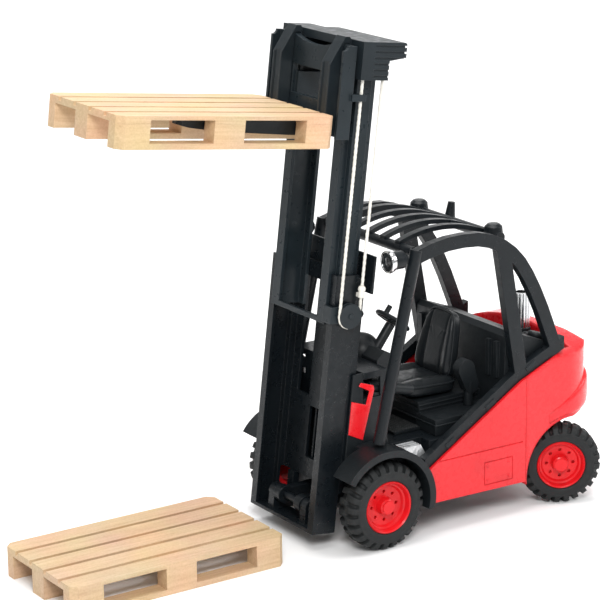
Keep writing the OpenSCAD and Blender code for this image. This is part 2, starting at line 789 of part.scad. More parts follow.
module sliding_mast() {
    arm_t = 2.4;
    color(black) on_mast() {
        for (side = [-1, 1]) sided(side) {
            block([-inner_d / 2, inner_half - inner_t, inner_low], [inner_d / 2, inner_half, inner_high]);
            for (x = [-inner_d / 2, inner_d / 2 - inner_t])
                block([x, inner_half - inner_w, inner_low], [x + inner_t, inner_half - inner_t, inner_high]);
            // tongue that runs in the fixed rail
            block([-5, inner_half - eps, inner_low], [5, rail_half - rail_t - slack, inner_high]);
        }
        // cross bar at the foot
        block([inner_d / 2 - inner_t, -inner_half, inner_low], [inner_d / 2, inner_half, inner_low + 3]);
        // arm round the left rail that carries the lower pulley
        block([inner_d / 2 - inner_t + 0.7, inner_half - 1, pulley_low - 5], [inner_d / 2 + 1, cord_y - 2, pulley_low + 5]);
        block([cord_x - 3, cord_y - 3.2, pulley_low - 5], [inner_d / 2 + 1, cord_y - 2, pulley_low + 5]);
        translate([cord_x, 0, pulley_low]) shaft(pulley_pin_r, cord_y - 2.5, cord_y + 2.2);
    }
}

// Crosshead with a ribbed grip behind it and a housing for the upper pulley
module crosshead() {
    low = inner_high;
    reach = 21;
    cheek_in = cord_y - 2;
    cheek_out = cord_y + 3.2;
    color(black) on_mast() {
        difference() {
            union() {
                block([-9.6, -rail_half - 9, low], [9.5, cheek_out, head_top]);
                upright(-28, cheek_out)
                    polygon([[-9, low], [-9.6, low], [-9.6, low + 11.4], [-reach, low + 13], [-reach, head_top - 1],
                             [-reach + 1, head_top], [-9, head_top]]);
            }
            // housing of the pulley, open below
            block([cord_x - flange_r - 1, cheek_in, low - 1], [cord_x + flange_r + 1, cord_y + 2, head_top - 4]);
            // grip grooves
            for (i = [0:5]) {
                block([-40, -40, low + 1.6 + 3.5 * i], [-reach + 1, 60, low + 2.8 + 3.5 * i]);
                block([-40, cheek_out - 0.7, low + 1.6 + 3.5 * i], [1, 60, low + 2.8 + 3.5 * i]);
            }
            // hollow between the rails
            block([-7, -20, low - 1], [20, 20, head_top - 5]);
        }
        translate([cord_x, 0, pulley_high]) shaft(pulley_pin_r, cheek_in - 0.5, cheek_out - 1);
    }
}

// Endless cord round the two pulleys
module cord() {
    color(pale) on_mast() translate([cord_x, cord_y, 0]) {
        for (x = [-loop_r, loop_r]) translate([x, 0, pulley_low]) cylinder(r = cord_r, h = pulley_high - pulley_low, $fn = 24);
        for (end = [[pulley_low, 180], [pulley_high, 0]]) translate([0, 0, end[0]]) rotate([90, 0, 0])
            rotate(end[1]) rotate_extrude(angle = 180, $fn = 48) translate([loop_r, 0]) circle(cord_r, $fn = 24);
    }
}

module pulley(z) {
    color(grey_black) on_mast() translate([cord_x, cord_y, z]) rotate([90, 0, 0]) difference() {
        rotate_extrude() difference() {
            translate([0, -pulley_w / 2]) square([flange_r, pulley_w]);
            translate([loop_r, 0]) circle(cord_r + 0.05);
            translate([loop_r, -cord_r - 0.05]) square([5, 2 * cord_r + 0.1]);
        }
        cylinder(r = pulley_pin_r + run, h = 20, center = true);
    }
}

module pulley_low() { pulley(pulley_low); }
module pulley_high() { pulley(pulley_high); }

// ---------- carriage and forks ----------

module carriage() {
    low = carriage_low;
    top = low + carriage_h;
    color(black) on_mast() {
        difference() {
            block([plate_x, -carriage_half, low], [plate_x + plate_t, carriage_half, top]);
            // window between the forks and openings beside them
            block([0, -20, low + 19], [30, 20, low + 36]);
            for (side = [-1, 1]) sided(side) block([0, 30.5, low + 12], [30, 35.5, low + 40]);
            // dip in the top edge
            translate([0, 0, top + 60]) shaft_x(64, 0, 30);
        }
        for (side = [-1, 1]) sided(side) {
            // side flange
            upright(carriage_half - 2, carriage_half) difference() {
                translate([plate_x + 1, low]) square([8, carriage_h]);
                translate([plate_x + 9, top]) circle(3);
            }
            // arm and guide block in the sliding rail
            block([-inner_d / 2 + inner_t + slack, inner_half - inner_w - 3.5, guide_low],
                  [plate_x + 1, inner_half - inner_w - slack - 0.1, guide_low + guide_h]);
            block([-inner_d / 2 + inner_t + slack, inner_half - inner_w - 2, guide_low],
                  [inner_d / 2 - inner_t - slack, inner_half - inner_t - slack, guide_low + guide_h]);
        }
        // clamp on the front run of the cord
        difference() {
            block([cord_x + loop_r - 2.2, cord_y - 2.4, clamp_z], [plate_x + 1.5, cord_y + 2.2, clamp_z + 4]);
            translate([cord_x + loop_r, cord_y, clamp_z - 5]) cylinder(r = cord_r + 0.3, h = 20);
        }
    }
}

// A shaft along X
module shaft_x(r, x0, x1) {
    translate([x0, 0, 0]) rotate([0, 90, 0]) cylinder(r = r, h = x1 - x0, $fn = 128);
}

// Under edge of the blade: deep near the heel, thin at the tip
function belly(t) = fork_depth * (0.25 + 0.75 * pow(1 - t, 0.6) * (1 + 0.25 * t));

module fork(side) {
    steps = 14;
    hook_top = carriage_low + carriage_h + slack;
    color(black) on_mast() sided(side) translate([0, fork_gap / 2, 0]) difference() {
        upright(-fork_w / 2, fork_w / 2) polygon([
            [shank_back, fork_top - fork_depth], [shank_back, hook_top], [plate_x - slack, hook_top],
            [plate_x - slack, hook_top - 5], [plate_x - 1.5, hook_top - 5], [plate_x - 1.5, hook_top + 2.4],
            [plate_x, hook_top + 4], [shank_back - 1, hook_top + 4], [shank_back + 1, hook_top + 1],
            [shank_front, hook_top - 12], [shank_front, fork_top],
            [shank_front + fork_l - 1, fork_top], [shank_front + fork_l, fork_top - 0.8],
            each [for (i = [steps:-1:0]) [shank_front + fork_l * i / steps, fork_top - belly(i / steps)]],
            [shank_front - 4, fork_top - fork_depth],
        ]);
        // shallow channel down the face of the shank
        block([shank_front - 0.7, -fork_w / 2 + 1.4, fork_top + 3], [shank_front + 1, fork_w / 2 - 1.4, hook_top]);
        // pointed tip, seen from above
        for (y = [-1, 1]) translate([shank_front + fork_l, y * (fork_w / 2 + 1), 0]) rotate(45)
            block([-2.6, -2.6, 0], [2.6, 2.6, 500]);
    }
}

module fork_left() { fork(1); }
module fork_right() { fork(-1); }

// ---------- pallets ----------

// A board with chamfered corners, seen from above
module cut_corners(l, w) {
    polygon([[0, chamfer - w / 2], [chamfer, -w / 2], [l - chamfer, -w / 2], [l, chamfer - w / 2],
             [l, w / 2 - chamfer], [l - chamfer, w / 2], [chamfer, w / 2], [0, w / 2 - chamfer]]);
}

module deck() {
    boards = 5;
    board_w = (pallet_w - 4 * 3.2) / boards;
    top = pallet_h - deck_t;
    intersection() {
        union() {
            for (i = [0:boards - 1]) {
                y = -pallet_w / 2 + i * (board_w + 3.2);
                block([0, y, top], [pallet_l, y + board_w, pallet_h]);
            }
            for (x = [0, (pallet_l - block_l) / 2, pallet_l - block_l])
                block([x, -pallet_w / 2, top - stringer_t], [x + block_l, pallet_w / 2, top]);
        }
        linear_extrude(pallet_h) cut_corners(pallet_l, pallet_w);
    }
}

module runners() {
    block_top = pallet_h - deck_t - stringer_t;
    intersection() {
        for (row = [[-1, side_runner_w], [0, mid_runner_w], [1, side_runner_w]]) {
            y = row[0] * (pallet_w - row[1]) / 2;
            block([0, y - row[1] / 2, 0], [pallet_l, y + row[1] / 2, runner_t]);
            for (x = [0, (pallet_l - block_l) / 2, pallet_l - block_l])
                block([x, y - row[1] / 2, runner_t - eps], [x + block_l, y + row[1] / 2, block_top]);
        }
        linear_extrude(pallet_h) cut_corners(pallet_l, pallet_w);
    }
}

// The pallet on the forks: its stringers rest on the blades
module on_forks() {
    rest = fork_top + 0.3 - (pallet_h - deck_t - stringer_t);
    on_mast() translate([shank_front + 0.3, 0, rest]) children();
}

module on_floor() {
    place() translate([floor_pallet_x, 0, 0]) children();
}

module carried_deck() { color(wood) on_forks() deck(); }
module carried_runners() { color(wood) on_forks() runners(); }
module floor_deck() { color(wood) on_floor() deck(); }
module floor_runners() { color(wood) on_floor() runners(); }

// ---------- choose what to draw ----------

chassis();
front_axle();
rear_beam();
mast_pin();
cowl();
side_panel_left();
side_panel_right();
counterweight();
engine_cover();
exhaust();
fender_left();
fender_right();
step_left();
step_right();
guard_side_left();
guard_side_right();
roof_headers();
roof_slats();
lamp_left();
lamp_right();
lamp_ring_left();
lamp_ring_right();
rear_lamps();
seat_base();
seat_cushion();
seat_back();
armrest();
dash();
tilt_barrels();
steering_wheel();
front_tyre_left();
front_rim_left();
front_tyre_right();
front_rim_right();
knuckle_left();
knuckle_right();
tie_rod();
rear_tyre_left();
rear_rim_left();
rear_tyre_right();
rear_rim_right();
fixed_rail_left();
fixed_rail_right();
mast_back();
cord_anchor();
tilt_rod_left();
tilt_rod_right();
sliding_mast();
crosshead();
cord();
pulley_low();
pulley_high();
carriage();
fork_left();
fork_right();
carried_deck();
carried_runners();
floor_deck();
floor_runners();
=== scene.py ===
import math

import bmesh
import bpy
import numpy as np
from mathutils import Matrix, Vector


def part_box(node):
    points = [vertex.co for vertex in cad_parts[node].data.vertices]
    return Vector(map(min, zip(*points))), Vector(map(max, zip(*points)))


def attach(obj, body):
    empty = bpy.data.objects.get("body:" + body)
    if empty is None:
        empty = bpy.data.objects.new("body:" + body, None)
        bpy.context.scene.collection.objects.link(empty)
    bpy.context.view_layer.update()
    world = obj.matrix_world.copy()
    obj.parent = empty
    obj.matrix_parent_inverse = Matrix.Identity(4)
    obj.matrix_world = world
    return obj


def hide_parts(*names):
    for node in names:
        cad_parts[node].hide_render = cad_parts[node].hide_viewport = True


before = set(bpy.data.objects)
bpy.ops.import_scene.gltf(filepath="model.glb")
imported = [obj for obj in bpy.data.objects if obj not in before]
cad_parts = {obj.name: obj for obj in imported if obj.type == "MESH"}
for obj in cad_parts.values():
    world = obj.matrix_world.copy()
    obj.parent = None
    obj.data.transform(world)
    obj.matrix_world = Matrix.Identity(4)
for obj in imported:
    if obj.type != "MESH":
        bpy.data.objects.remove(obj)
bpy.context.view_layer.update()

# ---------------------------------------------------------------------------
# Camera: a long lens from the truck's front left, a little above it.
# The target lies on the centre plane, close to the foot of the mast.
MIDDLE_X = 14.6907 / 1000                # front axle to the model's origin
target = Vector((0.0231 - MIDDLE_X, 0.0, 0.1461))
azimuth, elevation, roll = math.radians(147.0), math.radians(15.815), math.radians(-0.892)
distance = 1.5
toward = Vector((math.sin(azimuth) * math.cos(elevation),
                 -math.cos(azimuth) * math.cos(elevation), math.sin(elevation)))
camera_data = bpy.data.cameras.new("camera")
camera_data.sensor_width = 36
camera_data.lens = 2518.15 * 36 / 600
camera = bpy.data.objects.new("camera", camera_data)
bpy.context.scene.collection.objects.link(camera)
camera.matrix_world = (Matrix.Translation(target + toward * distance)
                       @ toward.to_track_quat("Z", "Y").to_matrix().to_4x4()
                       @ Matrix.Rotation(roll, 4, "Z"))
bpy.context.scene.camera = camera
bpy.context.scene.view_settings.view_transform = "Standard"

# ---------------------------------------------------------------------------
# Studio: a pale floor that curves up behind, and soft area lights.
def floor_sweep(size=6.0, rise=2.5, radius=1.2, rows=40):
    """A sheet that is flat, then turns up a quarter circle, then stands, swept sideways."""
    steps = np.linspace(0, 1, rows)
    turn = steps * math.pi / 2
    along = np.concatenate([[-size], radius * np.sin(turn) + 0.8, [radius + 0.8]])
    height = np.concatenate([[0.0], radius * (1 - np.cos(turn)), [rise + radius]])
    back = -np.array([toward.x, toward.y]) / math.hypot(toward.x, toward.y)
    side = np.array([-back[1], back[0]])
    span = np.array([-size, size])
    x = along[:, None] * back[0] + span[None, :] * side[0]
    y = along[:, None] * back[1] + span[None, :] * side[1]
    z = np.repeat(height[:, None], 2, axis=1)
    return np.stack([x, y, z], -1)


def grid_mesh(name, points, close_u=False, close_v=False):
    """Quads between neighbouring points of a (rows, columns, 3) array."""
    rows, cols = points.shape[:2]
    u = np.arange(rows if close_u else rows - 1)[:, None]
    v = np.arange(cols if close_v else cols - 1)[None, :]
    u2, v2 = (u + 1) % rows, (v + 1) % cols
    faces = np.stack([u * cols + v, u2 * cols + v, u2 * cols + v2, u * cols + v2], -1).reshape(-1, 4)
    mesh = bpy.data.meshes.new(name)
    mesh.from_pydata(points.reshape(-1, 3).tolist(), [], faces.tolist())
    mesh.update()
    piece = bpy.data.objects.new(name, mesh)
    bpy.context.scene.collection.objects.link(piece)
    return piece


floor = grid_mesh("studio_floor", floor_sweep())
for polygon in floor.data.polygons:
    polygon.use_smooth = True
paper = bpy.data.materials.new("floor_paper")
paper.use_nodes = True
paper.node_tree.nodes["Principled BSDF"].inputs["Base Color"].default_value = (0.9, 0.9, 0.9, 1)
paper.node_tree.nodes["Principled BSDF"].inputs["Roughness"].default_value = 0.7
floor.data.materials.append(paper)

world = bpy.data.worlds.new("soft_room")
bpy.context.scene.world = world
world.use_nodes = True
world.node_tree.nodes["Background"].inputs["Color"].default_value = (1, 1, 1, 1)
world.node_tree.nodes["Background"].inputs["Strength"].default_value = 0.46


def soft_light(name, place, aim, size, power):
    """An area light at place that looks at aim."""
    data = bpy.data.lights.new(name, "AREA")
    data.shape, data.size, data.energy = "SQUARE", size, power
    light = bpy.data.objects.new(name, data)
    bpy.context.scene.collection.objects.link(light)
    spot = Vector(place)
    turn = (spot - Vector(aim)).to_track_quat("Z", "Y").to_matrix().to_4x4()
    light.matrix_world = Matrix.Translation(spot) @ turn


soft_light("key", (0.9, 1.5, 1.5), (0, 0, 0.12), 0.7, 34)
soft_light("rear_fill", (-1.5, 0.7, 0.9), (0, 0, 0.12), 0.7, 11)
soft_light("top", (0.0, -0.2, 1.9), (0, 0, 0.1), 1.4, 36)

# ---------------------------------------------------------------------------
# Moulded plastic of the body: black, dark grey and glossy red parts come from
# steel moulds, so each has a faint grain, soft edges, handling marks and a painted edge highlight.
def moulded(name, colour, roughness, grain=0.00004, grain_scale=1500, edge=0.0004, edge_highlight=0.35, gloss=0.0,
            shine=0.26):
    """Plastic: colour with slow patches, a painted highlight that makes the edges paler where the rounded
    normal leaves the face, fine bump.
    """
    material = bpy.data.materials.new(name)
    material.use_nodes = True
    nodes, links = material.node_tree.nodes, material.node_tree.links
    shader = nodes["Principled BSDF"]
    shader.inputs["Coat Weight"].default_value = gloss
    shader.inputs["Specular IOR Level"].default_value = shine
    shader.inputs["Coat Roughness"].default_value = 0.12
    place = nodes.new("ShaderNodeTexCoord")
    patches = nodes.new("ShaderNodeTexNoise")
    patches.inputs["Scale"].default_value = 45
    patches.inputs["Detail"].default_value = 4
    fine = nodes.new("ShaderNodeTexNoise")
    fine.inputs["Scale"].default_value = grain_scale
    fine.inputs["Detail"].default_value = 3
    scuffs = nodes.new("ShaderNodeTexNoise")
    scuffs.inputs["Scale"].default_value = 260
    scuffs.inputs["Detail"].default_value = 8
    for texture in (patches, fine, scuffs):
        links.new(place.outputs["Object"], texture.inputs["Vector"])
    rounded = nodes.new("ShaderNodeBevel")
    rounded.samples = 6
    rounded.inputs["Radius"].default_value = edge
    bump = nodes.new("ShaderNodeBump")
    bump.inputs["Strength"].default_value = 0.5
    bump.inputs["Distance"].default_value = grain
    links.new(fine.outputs["Fac"], bump.inputs["Height"])
    links.new(rounded.outputs["Normal"], bump.inputs["Normal"])
    links.new(bump.outputs["Normal"], shader.inputs["Normal"])
    face = nodes.new("ShaderNodeNewGeometry")
    along = nodes.new("ShaderNodeVectorMath")
    along.operation = "DOT_PRODUCT"
    links.new(rounded.outputs["Normal"], along.inputs[0])
    links.new(face.outputs["Normal"], along.inputs[1])
    # Painted edge highlight: the base colour turns paler where the rounded normal leaves the face.
    on_edge = nodes.new("ShaderNodeMapRange")
    on_edge.inputs["From Min"].default_value = 0.99
    on_edge.inputs["From Max"].default_value = 0.80
    on_edge.inputs["To Max"].default_value = edge_highlight
    links.new(along.outputs["Value"], on_edge.inputs["Value"])
    tint = nodes.new("ShaderNodeValToRGB")
    tint.color_ramp.elements[0].position = 0.3
    tint.color_ramp.elements[1].position = 0.7
    tint.color_ramp.elements[0].color = (*[c * 0.86 for c in colour], 1)
    tint.color_ramp.elements[1].color = (*[min(1, c * 1.14) for c in colour], 1)
    links.new(patches.outputs["Fac"], tint.inputs["Fac"])
    paler = nodes.new("ShaderNodeMix")
    paler.data_type = "RGBA"
    paler.inputs["B"].default_value = (*[min(1, c * 1.6 + 0.02) for c in colour], 1)
    links.new(on_edge.outputs["Result"], paler.inputs["Factor"])
    links.new(tint.outputs["Color"], paler.inputs["A"])
    links.new(paler.outputs["Result"], shader.inputs["Base Color"])
    sheen = nodes.new("ShaderNodeMapRange")
    sheen.inputs["From Min"].default_value = 0.35
    sheen.inputs["From Max"].default_value = 0.7
    sheen.inputs["To Min"].default_value = roughness - 0.05
    sheen.inputs["To Max"].default_value = roughness + 0.12
    links.new(scuffs.outputs["Fac"], sheen.inputs["Value"])
    links.new(sheen.outputs["Result"], shader.inputs["Roughness"])
    return material


def clothe(names, material):
    """Gives CAD nodes a material in place of the plain one."""
    for name in names:
        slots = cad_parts[name].data.materials
        slots.clear()
        slots.append(material)


red_shell = moulded("red_shell", (0.70, 0.012, 0.018), 0.27, grain=0.00002, edge=0.0007, edge_highlight=0.12, gloss=0.3)
red_rim = moulded("red_rim", (0.60, 0.008, 0.012), 0.35, grain=0.00002, edge=0.0003, edge_highlight=0.2, gloss=0.1)
clothe(["side_panel_left", "side_panel_right"], red_shell)
red_casting = moulded("red_counterweight", (0.70, 0.012, 0.018), 0.25, grain=0.00002, edge=0.0035, edge_highlight=0.02,
                      gloss=0.35)
clothe(["counterweight"], red_casting)
black_frame = moulded("black_frame", (0.0055, 0.0078, 0.0098), 0.32, edge=0.0006)
clothe(["chassis", "rear_beam", "guard_side_left", "guard_side_right", "roof_headers", "roof_slats", "cowl",
        "lamp_left", "lamp_right", "rear_lamps", "knuckle_left", "knuckle_right", "tie_rod"], black_frame)
black_trim = moulded("black_trim", (0.0075, 0.0098, 0.0115), 0.44, grain=0.00007, grain_scale=1100)
clothe(["fender_left", "fender_right", "engine_cover", "seat_base", "armrest", "dash", "steering_wheel",
        "tilt_barrels"], black_trim)


# ---------------------------------------------------------------------------
# Red panels of the front cowl: thin moulded plates that clip into the black
# cowl beside the mast, stepped at the top like a hook.
def plate(name, outline, y_in, y_out, soften):
    """A flat plate: an outline in X and Z carried from y_in to y_out, then rounded at its edges."""
    ring = np.array(outline) / 1000
    count = len(ring)
    low = np.column_stack([ring[:, 0] - MIDDLE_X, np.full(count, y_in / 1000), ring[:, 1]])
    high = low.copy()
    high[:, 1] = y_out / 1000
    step = np.arange(count)
    after = (step + 1) % count
    sides = np.stack([step, after, after + count, step + count], -1).tolist()
    mesh = bpy.data.meshes.new(name)
    mesh.from_pydata(np.vstack([low, high]).tolist(), [],
                     sides + [step[::-1].tolist(), (step + count).tolist()])
    outward(mesh)
    piece = bpy.data.objects.new(name, mesh)
    bpy.context.scene.collection.objects.link(piece)
    rounding = piece.modifiers.new("soft_edges", "BEVEL")
    rounding.width, rounding.segments, rounding.limit_method = soften / 1000, 3, "ANGLE"
    return piece


def outward(mesh):
    """Joins doubled points, then turns every face outwards."""
    work = bmesh.new()
    work.from_mesh(mesh)
    bmesh.ops.remove_doubles(work, verts=work.verts, dist=1e-7)
    bmesh.ops.recalc_face_normals(work, faces=work.faces)
    work.to_mesh(mesh)
    work.free()


def finish_piece(piece, material, body, smooth=True):
    """Material, shading and the body it rides on."""
    piece.data.materials.append(material)
    if smooth:
        piece.data.polygons.foreach_set("use_smooth", [True] * len(piece.data.polygons))
    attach(piece, body)


cowl_hook = [(6.8, 98.6), (5.3, 100.6), (-3.7, 97.5), (-4.3, 94.8), (4.3, 64.6), (14.6, 69.8), (12.1, 90.0),
             (1.9, 86.3), (-0.7, 94.4)]
cowl_wing = [(3.2, 45), (17.2, 45), (16, 60), (10.2, 106), (3.2, 106)]
for side, sign in (("left", 1), ("right", -1)):
    hook = plate(f"cowl_panel_{side}", cowl_hook, sign * 36.9, sign * 37.7, 0.35)
    finish_piece(hook, red_shell, "truck", smooth=False)
    wing = plate(f"cowl_wing_{side}", cowl_wing, sign * 35.4, sign * 36.9, 0.4)
    finish_piece(wing, black_trim, "truck", smooth=False)

# ---------------------------------------------------------------------------
# Bumper swell of the counterweight: a raised moulded band in the same red,
# rising from the wheel arches round both corners and across the tail.
def tail_band(rear=-165.0, half=54.0, corner=26.0, reach=-116.0, swell=2.6, count=360):
    """A closed band along the tail's plan outline: a straight flank, a quarter circle, then straight across.
    Its top climbs by an S curve from the wheel arch to the corner, and its low edge follows the arch circle
    and then levels out. The section is a superellipse that bulges outwards by the swell and lies just under
    the skin where the band begins; it shrinks to a point inside the body at both ends."""
    arch_x, arch_z, arch_radius = -141.0, 21.5, 35.5
    low_end, high_start, climb, under_skin, closing = 61.8, 60.0, 20.5, 0.15, 6.0
    flank, turn, tail = reach - (rear + corner), math.pi / 2 * corner, half - corner
    s = np.linspace(0, flank + turn + tail, count)
    angle = np.clip((s - flank) / corner, 0, math.pi / 2)
    x = reach - np.clip(s, 0, flank) - corner * np.sin(angle)
    y = half - corner * (1 - np.cos(angle)) - np.clip(s - flank - turn, 0, None)
    out_x, out_y = -np.sin(angle), np.cos(angle)
    rise = np.clip(s / (flank + turn * 0.8), 0, 1)
    rise = rise * rise * (3 - 2 * rise)
    arch = arch_z + np.sqrt(np.clip(arch_radius ** 2 - np.clip(x - arch_x, 0, None) ** 2, 1, None))
    low = arch + (low_end - arch) * np.clip((s - flank) / turn, 0, 1)
    high = high_start + climb * rise
    round_turn = np.linspace(0, 2 * math.pi, 40, endpoint=False)[None, :]
    across = np.sign(np.cos(round_turn)) * np.abs(np.cos(round_turn)) ** 0.7
    upward = np.sign(np.sin(round_turn)) * np.abs(np.sin(round_turn)) ** 0.45
    size = np.clip(s / closing, 0, 1)[:, None]
    depth = -1.0 + size * (1.0 - under_skin + (swell + under_skin) * rise[:, None] * across)
    z = (low + high)[:, None] / 2 + size * (high - low)[:, None] / 2 * upward
    points = np.stack([x[:, None] + out_x[:, None] * depth, y[:, None] + out_y[:, None] * depth, z], -1)
    other = points[-2::-1] * np.array([1, -1, 1])
    return (np.concatenate([points, other]) - np.array([MIDDLE_X * 1000, 0, 0])) / 1000


band = grid_mesh("counterweight_band", tail_band(), close_v=True)
outward(band.data)
finish_piece(band, red_casting, "truck")

# ---------------------------------------------------------------------------
# Wheels: one-piece rubber tyres with chunky staggered lugs, pressed on to
# glossy red moulded rims; the rear pair are a little smaller.
def tyre(name, centre, turn, radius, bead, width, lugs=24, around=720):
    """A profile swept round the axle. Between lugs the tread sinks and the shoulder draws in;
    the lugs of one side stand half a pitch from those of the other."""
    half = width / 2
    side = np.array([[bead, half - 1.0], [bead + 0.7, half - 0.3],
                     [bead + 1.8, half - 0.05], [bead + 3.4, half],
                     [radius - 5.6, half - 0.2], [radius - 5.2, half + 0.0], [radius - 4.7, half - 0.1],
                     [radius - 4.2, half - 0.5], [radius - 3.2, half - 0.75], [radius - 2.2, half - 1.1],
                     [radius - 1.3, half - 1.9], [radius - 0.6, half - 3.0], [radius - 0.15, half - 4.3],
                     [radius, half - 5.2], [radius, half - 6.4], [radius, half - 7.6], [radius, 0.6]])
    rim_side = np.array([[bead - 0.2, -half + 2], [bead - 0.2, half - 2]])
    mirrored = side[::-1] * [1, -1]
    profile = np.vstack([side, mirrored, rim_side])
    r, y = profile[None, :, 0], profile[None, :, 1]
    a = np.linspace(0, 2 * math.pi, around, endpoint=False)[:, None]
    pitch = a * lugs / (2 * math.pi) + np.where(y > 0, 0.0, 0.5) + 0.16 * np.abs(y) / half
    gap = np.abs(pitch % 1 - 0.5) * 2
    blend_in = np.clip((gap - 0.52) / 0.16, 0, 1)
    groove = blend_in * blend_in * (3 - 2 * blend_in)
    depth = np.clip((r - (radius - 4.6)) / 2.4, 0, 1)
    centre_rib = np.clip((np.abs(y) - 0.2) / 1.4, 0, 1)
    r2 = r - 2.3 * groove * depth * centre_rib
    y2 = y - np.sign(y) * 0.9 * groove * depth * np.clip((np.abs(y) - half + 5) / 3, 0, 1)
    points = np.stack([r2 * np.cos(a), np.broadcast_to(y2, r2.shape), r2 * np.sin(a)], -1)
    c, s = math.cos(turn), math.sin(turn)
    turned = np.stack([points[..., 0] * c - points[..., 1] * s, points[..., 0] * s + points[..., 1] * c,
                       points[..., 2]], -1)
    piece = grid_mesh(name, turned / 1000 + np.array(centre), close_u=True, close_v=True)
    outward(piece.data)
    return piece


rubber = moulded("tyre_rubber", (0.014, 0.0155, 0.016), 0.6, grain=0.00012, grain_scale=900, edge=0.0003,
                 edge_highlight=0.5)
clothe(["front_rim_left", "front_rim_right", "rear_rim_left", "rear_rim_right"], red_rim)
steel = moulded("bright_steel", (0.5, 0.51, 0.52), 0.3, grain=0.00002, edge_highlight=0.1)
steel.node_tree.nodes["Principled BSDF"].inputs["Metallic"].default_value = 1.0
clothe(["front_axle", "mast_pin", "tilt_rod_left", "tilt_rod_right"], steel)
STEER = math.radians(28)
for end, size, turn in (("front", 27.0, 0.0), ("rear", 25.5, -STEER)):
    for side in ("left", "right"):
        low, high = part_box(f"{end}_tyre_{side}")
        wheel = tyre(f"{end}_tyre_{side}_lugged", (low + high) / 2, turn, size, size * 0.6, 18.0)
        finish_piece(wheel, rubber, f"{end}_wheel_{side}")
        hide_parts(f"{end}_tyre_{side}")

# ---------------------------------------------------------------------------
# Steps behind the front wheels: silver plates with a raised diamond tread.
silver_tread = moulded("silver_tread", (0.60, 0.61, 0.62), 0.34, grain=0.00005, edge_highlight=0.2)
tread_nodes, tread_links = silver_tread.node_tree.nodes, silver_tread.node_tree.links
tread_shader = tread_nodes["Principled BSDF"]
tread_shader.inputs["Metallic"].default_value = 0.8
diamonds = tread_nodes.new("ShaderNodeTexVoronoi")
diamonds.inputs["Scale"].default_value = 420
tread_bump = tread_nodes.new("ShaderNodeBump")
tread_bump.inputs["Strength"].default_value = 0.6
tread_bump.inputs["Distance"].default_value = 0.0004
tread_links.new(tread_nodes["Texture Coordinate"].outputs["Object"], diamonds.inputs["Vector"])
tread_links.new(diamonds.outputs["Distance"], tread_bump.inputs["Height"])
tread_links.new(tread_nodes["Bump"].outputs["Normal"], tread_bump.inputs["Normal"])
tread_links.new(tread_bump.outputs["Normal"], tread_shader.inputs["Normal"])
clothe(["step_left", "step_right"], silver_tread)

# ---------------------------------------------------------------------------
# Head lamps and exhaust: vacuum-plated plastic, with a dark ribbed lens
# pressed into each lamp ring.
plated = moulded("plated_chrome", (0.78, 0.79, 0.80), 0.13, grain=0.00001, edge_highlight=0.0)
plated.node_tree.nodes["Principled BSDF"].inputs["Metallic"].default_value = 1.0
clothe(["lamp_ring_left", "lamp_ring_right", "exhaust"], plated)


def lathe(name, profile, centre, axis, around=64):
    """A profile of (radius, height) pairs turned round an axis through centre."""
    pairs = np.array(profile) / 1000
    a = np.linspace(0, 2 * math.pi, around, endpoint=False)[:, None]
    z = Vector(axis).normalized()
    x = z.orthogonal().normalized()
    y = z.cross(x)
    radial = np.cos(a)[..., None] * np.array(x) + np.sin(a)[..., None] * np.array(y)
    points = radial * pairs[None, :, :1] + pairs[None, :, 1:] * np.array(z) + np.array(centre)
    piece = grid_mesh(name, points, close_u=True)
    outward(piece.data)
    return piece


lens_plastic = moulded("lamp_lens", (0.012, 0.013, 0.015), 0.18, grain=0.00001, gloss=0.6)
for side in ("left", "right"):
    low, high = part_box(f"lamp_ring_{side}")
    face = Vector((high.x - 0.0016, (low.y + high.y) / 2, (low.z + high.z) / 2))
    rings = [(0.0, 1.3), (1.2, 1.25), (1.4, 1.05), (2.6, 0.95), (2.8, 0.75), (4.0, 0.55), (4.2, 0.3),
             (5.2, 0.05), (5.3, -0.7), (0.0, -0.7)]
    lens = lathe(f"lamp_lens_{side}", rings, face, (1, 0, 0))
    finish_piece(lens, lens_plastic, "truck")

# ---------------------------------------------------------------------------
# Filler caps on the engine cover: turned-looking plastic knobs with a
# rounded rim, pushed into the sloping deck beside the exhaust.
cap_rings = [(0.0, 0.0), (3.6, 0.0), (3.9, 0.4), (3.9, 3.0), (4.4, 3.3), (4.4, 5.2), (4.0, 5.8), (1.8, 6.0),
             (0.0, 5.4)]
filler_caps = (("coolant_cap", -132.0, 22.0, 98.0, 1.0),
               ("fuel_cap", -127.0, 35.0, 101.0, 1.25))
for name, x, y, z, size in filler_caps:
    rings = [(radius * size, height * size) for radius, height in cap_rings]
    cap = lathe(name, rings, ((x / 1000) - MIDDLE_X, y / 1000, z / 1000), (-0.3, 0, 1))
    finish_piece(cap, black_trim, "truck")

# ---------------------------------------------------------------------------
# Driver's seat: a moulded bucket seat with raised side bolsters, a piped
# edge all round and a crowned middle, grained like vinyl.
vinyl = moulded("seat_vinyl", (0.0065, 0.0085, 0.0100), 0.36, grain=0.00016, grain_scale=650, edge=0.0002)


